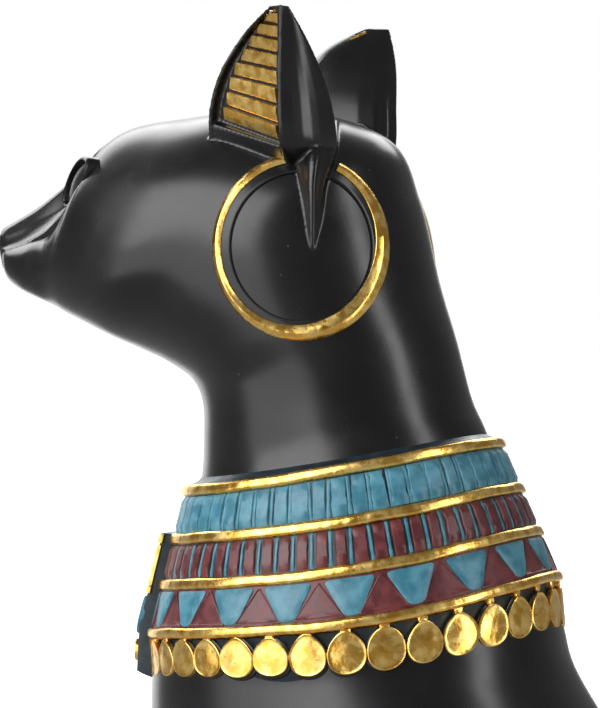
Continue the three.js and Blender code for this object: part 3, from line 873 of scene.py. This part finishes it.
def plaque_pieces():
    """Panel on the chest: gold edges, two rows of tiles, a fan of feathers and a row of discs."""
    tall = (PLAQUE["to"] - PLAQUE["from"]) * COLLAR_DOWN
    wide = 2 * PLAQUE["half"]
    panel = plaque_box(0, 0, wide, tall, 0.0, bevel=0.5, root=-4.5, count=21)
    piece("plaque", panel, WASH, 40)
    gold = [plaque_box(0, 0.5, wide + 0.3, 1.5, 0.35, count=21), plaque_box(0, 8.2, wide + 0.2, 1.1, 0.35, count=21)]
    gold += [plaque_box(side * (wide / 2 - 0.45), 2.2, 0.8, 6.0, 0.25, count=2) for side in (1, -1)]
    blue, red = [], []
    tiles = 9
    pitch = (wide - 2.4) / tiles
    for k in range(tiles):
        x = (k - (tiles - 1) / 2) * pitch
        (blue if k % 2 == 0 else red).append(plaque_box(x, 2.4, pitch * 0.82, 2.5, 0.3, count=2))
        (red if k % 2 == 0 else blue).append(plaque_box(x, 5.3, pitch * 0.82, 2.5, 0.3, count=2))
    feathers = 7
    pitch = (wide - 0.6) / feathers
    for k in range(feathers):
        x = (k - (feathers - 1) / 2) * pitch
        outline = disc_outline(pitch * 0.9, 5.6, -0.15, -0.05) * (1, -1)
        place = lambda a, b, h, x=x: plaque_place(x + a, 12.6 - b, h)
        (blue if k % 2 == 0 else red).append(boss(outline, [(1.0, -0.3), (0.97, 0.3), (0.85, 0.42), (0.5, 0.5)], place))
        outline = disc_outline(pitch * 0.86, 3.6, 0.15, 0.05)
        place = lambda a, b, h, x=x: plaque_place(x + a, 18.0 - b, h)
        gold.append(boss(outline, [(1.0, -0.3), (0.98, 0.35), (0.9, 0.5), (0.8, 0.42), (0.4, 0.5)], place))
    piece("plaque_gold", joined(gold), GOLD, 35)
    piece("plaque_turquoise", joined(blue), TURQUOISE, 35)
    piece("plaque_maroon", joined(red), MAROON, 35)


def collar_pieces():
    piece("collar_ground", ground_part(), WASH, 50)
    piece("collar_bands", joined([band_part(depth) for depth in BANDS]), GOLD, 50)
    wide, narrow = tile_row(0, FIRST_ROW_TILES, 2.02, 0.62)
    piece("tiles_first_row", joined([wide, narrow]), TURQUOISE, 40)
    wide, narrow = tile_row(1, SECOND_ROW_TILES, 1.75, 0.55)
    piece("tiles_second_row", wide, MAROON, 40)
    piece("strips_second_row", narrow, TURQUOISE, 40)
    rows = [(depth, 0, 0.12) for depth in (0.69, 0.8, 0.9, 0.97)] + [(0.97, 0, -1.0), (0.69, 0, -1.0)]
    piece("triangle_ground", collar_ring(rows, 0.0), MAROON, 50)
    red, blue = triangle_row()
    piece("triangles", red, MAROON, 35)
    piece("hanging_shapes", blue, TURQUOISE, 35)
    gold, backing = disc_row()
    piece("discs", gold, GOLD, 35)
    piece("disc_backing", backing, BLACK, 35)


# Stage
def softbox(name, around, above, wide, tall, bright):
    """Rectangular light that faces the bust."""
    heading = math.radians(CAMERA_AZIMUTH - 90 + around)
    lift = math.radians(above)
    away = Vector((math.cos(heading) * math.cos(lift), math.sin(heading) * math.cos(lift), math.sin(lift)))
    data = bpy.data.lights.new(name, "AREA")
    data.shape = "RECTANGLE"
    data.size, data.size_y = (2 * LIGHT_DISTANCE * math.tan(math.radians(angle) / 2) for angle in (wide, tall))
    data.energy = bright * math.pi * data.size * data.size_y
    lamp = bpy.data.objects.new(name, data)
    bpy.context.scene.collection.objects.link(lamp)
    lamp.location = Vector(LIGHT_CENTRE) + away * LIGHT_DISTANCE
    lamp.rotation_euler = away.to_track_quat("Z", "Y").to_euler()
    lamp.visible_camera = False


def camera_axes():
    angle = math.radians(CAMERA_AZIMUTH)
    right = Vector((math.cos(angle), math.sin(angle), 0))
    back = Vector((math.sin(angle), -math.cos(angle), 0))
    return right, back


def camera():
    right, back = camera_axes()
    target = right * CAMERA_TARGET["right"] + Vector((0, 0, CAMERA_TARGET["up"]))
    data = bpy.data.cameras.new("camera")
    data.sensor_width = SENSOR_MM
    data.lens = SENSOR_MM * CAMERA_DISTANCE / FRAME_HEIGHT_MM
    data.clip_start = 0.01
    eye = bpy.data.objects.new("camera", data)
    eye.location = (target + back * CAMERA_DISTANCE) * MM
    eye.rotation_euler = back.to_track_quat("Z", "Y").to_euler()
    bpy.context.scene.collection.objects.link(eye)
    bpy.context.scene.camera = eye


def floor():
    bpy.ops.mesh.primitive_plane_add(size=400.0)
    plane = bpy.context.object
    plane.name = "floor"
    paint = Paint("pale glowing floor", roughness=0.9)
    paint.shader.inputs["Specular IOR Level"].default_value = 0.0
    # The floor glows with painted light: white emission, weaker near the bust (0.6 within 60 mm of its centre, rising
    # to 1.0 at 260 mm), so that the lamps' light tops it up there.
    paint.shader.inputs["Emission Color"].default_value = (1, 1, 1, 1)
    reach = paint.node("ShaderNodeVectorMath", "LENGTH", Vector=paint.where).outputs["Value"]
    paint.set(paint.shader.inputs["Emission Strength"], paint.fade(reach, 60, 260, 0.6, 1.0))
    plane.data.materials.append(paint.finish(paint.mix(paint.noise(0.02, 2), (0.8, 0.8, 0.8), (0.84, 0.84, 0.84))))
    plane.visible_glossy = False
    plane.visible_diffuse = False


def surroundings():
    """White behind the bust for the camera, dim above and paler below for its reflections."""
    world = bpy.data.worlds.new("studio")
    bpy.context.scene.world = world
    world.use_nodes = True
    nodes, links = world.node_tree.nodes, world.node_tree.links
    direction = nodes.new("ShaderNodeTexCoord")
    height = nodes.new("ShaderNodeSeparateXYZ")
    dim = nodes.new("ShaderNodeMapRange")
    seen = nodes.new("ShaderNodeMapRange")
    path = nodes.new("ShaderNodeLightPath")
    for socket, number in zip(dim.inputs[1:5], (-0.3, 0.15, 0.45, 0.2)):
        socket.default_value = number
    seen.inputs["To Max"].default_value = 1.0
    links.new(direction.outputs["Generated"], height.inputs[0])
    links.new(height.outputs["Z"], dim.inputs["Value"])
    links.new(path.outputs["Is Camera Ray"], seen.inputs["Value"])
    links.new(dim.outputs[0], seen.inputs["To Min"])
    nodes["Background"].inputs["Color"].default_value = (1, 1, 1, 1)
    links.new(seen.outputs[0], nodes["Background"].inputs["Strength"])


def stage():
    floor()
    surroundings()
    for name, place in LIGHTS.items():
        softbox(name, *place)
    bpy.context.scene.view_settings.view_transform = "Standard"


camera()
stage()
head_piece()
eye_pieces()
shoulders_piece()
hoop_pieces()
plate_pieces()
collar_pieces()
plaque_pieces()

bpy.context.view_layer.update()
